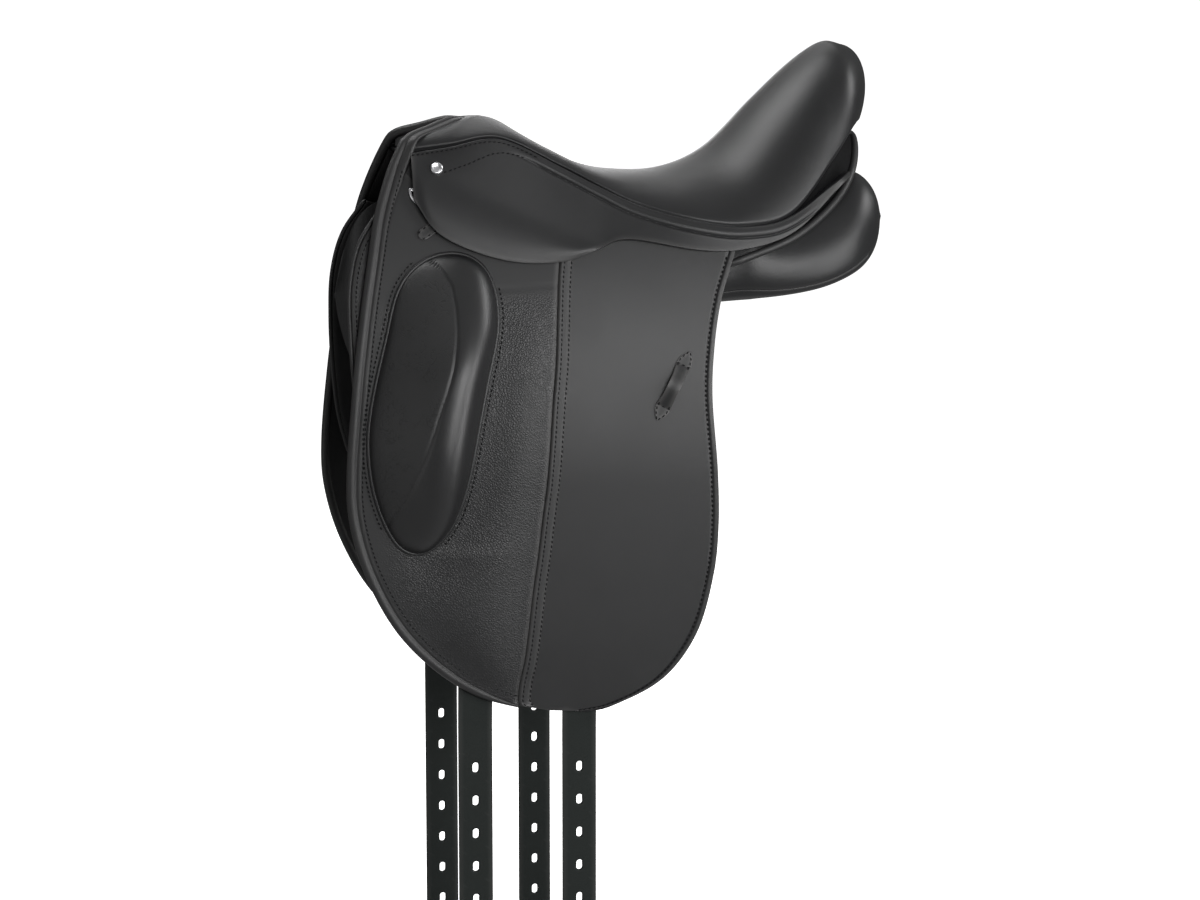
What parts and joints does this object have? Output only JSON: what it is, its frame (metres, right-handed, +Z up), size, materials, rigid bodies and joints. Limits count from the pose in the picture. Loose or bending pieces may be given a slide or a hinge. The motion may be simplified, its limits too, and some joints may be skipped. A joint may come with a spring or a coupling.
{
  "type": "dressage saddle",
  "caption": "Black leather dressage saddle with a deep seat, a cut-back head, long straight flaps with outside knee blocks, stuffed panels and long girth straps.",
  "frame": {"origin": "on the centre line, at the level where the panels bear on the horse's back, near the middle of its length", "axes": "-X to the front of the saddle, +X to the cantle, -Y to the left (near) side, +Z up"},
  "size_m": [0.4882, 0.316, 0.857],
  "materials": {
    "black_leather": "smooth, soft sheen",
    "grained_leather": "grained, low sheen",
    "panel_leather": "soft, low sheen",
    "strap_leather": "matte",
    "bright_metal": "polished",
    "bar_steel": "forged and brushed",
    "steel": "plain",
    "laminated_wood": "laminated, sealed",
    "webbing": "woven",
    "foam": "open-cell foam"
  },
  "bodies": {
    "saddle": {"tree": "laminated_wood", "gullet_plate": "steel", "cantle_plate": "steel", "spring_rail_left": "steel", "spring_rail_right": "steel", "tree_point_left": "laminated_wood", "tree_point_right": "laminated_wood", "seat_web": "webbing", "girth_web": "webbing", "seat_foam": "foam", "seat_cover": "black_leather", "head_facing": "black_leather", "cantle_facing": "black_leather", "channel_lining": "black_leather", "skirt_left": "black_leather", "skirt_right": "black_leather", "head_nails": "bright_metal", "stirrup_bar_left": "bar_steel", "stirrup_bar_right": "bar_steel", "bar_rivets_left": "steel", "bar_rivets_right": "steel", "catch_pin_left": "steel", "catch_pin_right": "steel", "dee_chape_left": "black_leather", "dee_chape_right": "black_leather", "flap_left": "black_leather", "flap_right": "black_leather", "flap_front_left": "grained_leather", "flap_front_right": "grained_leather", "flap_strip_left": "black_leather", "flap_strip_right": "black_leather", "front_binding_left": "black_leather", "front_binding_right": "black_leather", "inner_flap_left": "black_leather", "inner_flap_right": "black_leather", "inner_piping_left": "black_leather", "inner_piping_right": "black_leather", "knee_block_left": "black_leather", "knee_block_right": "black_leather", "block_inlay_left": "black_leather", "block_inlay_right": "black_leather", "keeper_left": "black_leather", "keeper_right": "black_leather", "panel_left": "panel_leather", "panel_right": "panel_leather", "rear_welt": "black_leather", "strap_front_left": "strap_leather", "strap_front_right": "strap_leather", "strap_rear_left": "strap_leather", "strap_rear_right": "strap_leather"},
    "skirt_lift_left": {"skirt_lift_left": "black_leather"},
    "catch_left": {"catch_left": "bar_steel"},
    "dee_left": {"dee_left": "bright_metal"},
    "strap_end_front_left": {"strap_end_front_left": "strap_leather"},
    "strap_end_rear_left": {"strap_end_rear_left": "strap_leather"},
    "skirt_lift_right": {"skirt_lift_right": "black_leather"},
    "catch_right": {"catch_right": "bar_steel"},
    "dee_right": {"dee_right": "bright_metal"},
    "strap_end_front_right": {"strap_end_front_right": "strap_leather"},
    "strap_end_rear_right": {"strap_end_rear_right": "strap_leather"}
  },
  "joints": [
    {"name": "skirt_left_lift", "type": "hinge", "parent": "saddle", "child": "skirt_lift_left", "pos_m": [-0.11167, -0.08703, 0.06715], "axis": [-0.8853, 0.2342, 0.4017], "range_deg": [0, 40]},
    {"name": "catch_left_turn", "type": "hinge", "parent": "saddle", "child": "catch_left", "pos_m": [-0.1092, -0.08011, 0.06257], "axis": [-0.1216, -0.9355, 0.3317], "range_deg": [0, 60]},
    {"name": "dee_left_swing", "type": "hinge", "parent": "saddle", "child": "dee_left", "pos_m": [-0.179, -0.06686, 0.084], "axis": [-0.9917, 0.1289, 0], "range_deg": [0, 8]},
    {"name": "strap_front_left_swing", "type": "hinge", "parent": "saddle", "child": "strap_end_front_left", "pos_m": [-0.1445, -0.10462, -0.388], "axis": [-1, 0, 0], "range_deg": [-20, 70]},
    {"name": "strap_rear_left_swing", "type": "hinge", "parent": "saddle", "child": "strap_end_rear_left", "pos_m": [-0.0535, -0.11645, -0.388], "axis": [-1, 0, 0], "range_deg": [-20, 70]},
    {"name": "skirt_right_lift", "type": "hinge", "parent": "saddle", "child": "skirt_lift_right", "pos_m": [-0.11167, 0.08703, 0.06715], "axis": [0.8853, 0.2342, -0.4017], "range_deg": [0, 40]},
    {"name": "catch_right_turn", "type": "hinge", "parent": "saddle", "child": "catch_right", "pos_m": [-0.1092, 0.08011, 0.06257], "axis": [0.1216, -0.9355, -0.3317], "range_deg": [0, 60]},
    {"name": "dee_right_swing", "type": "hinge", "parent": "saddle", "child": "dee_right", "pos_m": [-0.179, 0.06686, 0.084], "axis": [0.9917, 0.1289, 0], "range_deg": [0, 8]},
    {"name": "strap_front_right_swing", "type": "hinge", "parent": "saddle", "child": "strap_end_front_right", "pos_m": [-0.1445, 0.10462, -0.388], "axis": [1, 0, 0], "range_deg": [-20, 70]},
    {"name": "strap_rear_right_swing", "type": "hinge", "parent": "saddle", "child": "strap_end_rear_right", "pos_m": [-0.0535, 0.11645, -0.388], "axis": [1, 0, 0], "range_deg": [-20, 70]}
  ]
}
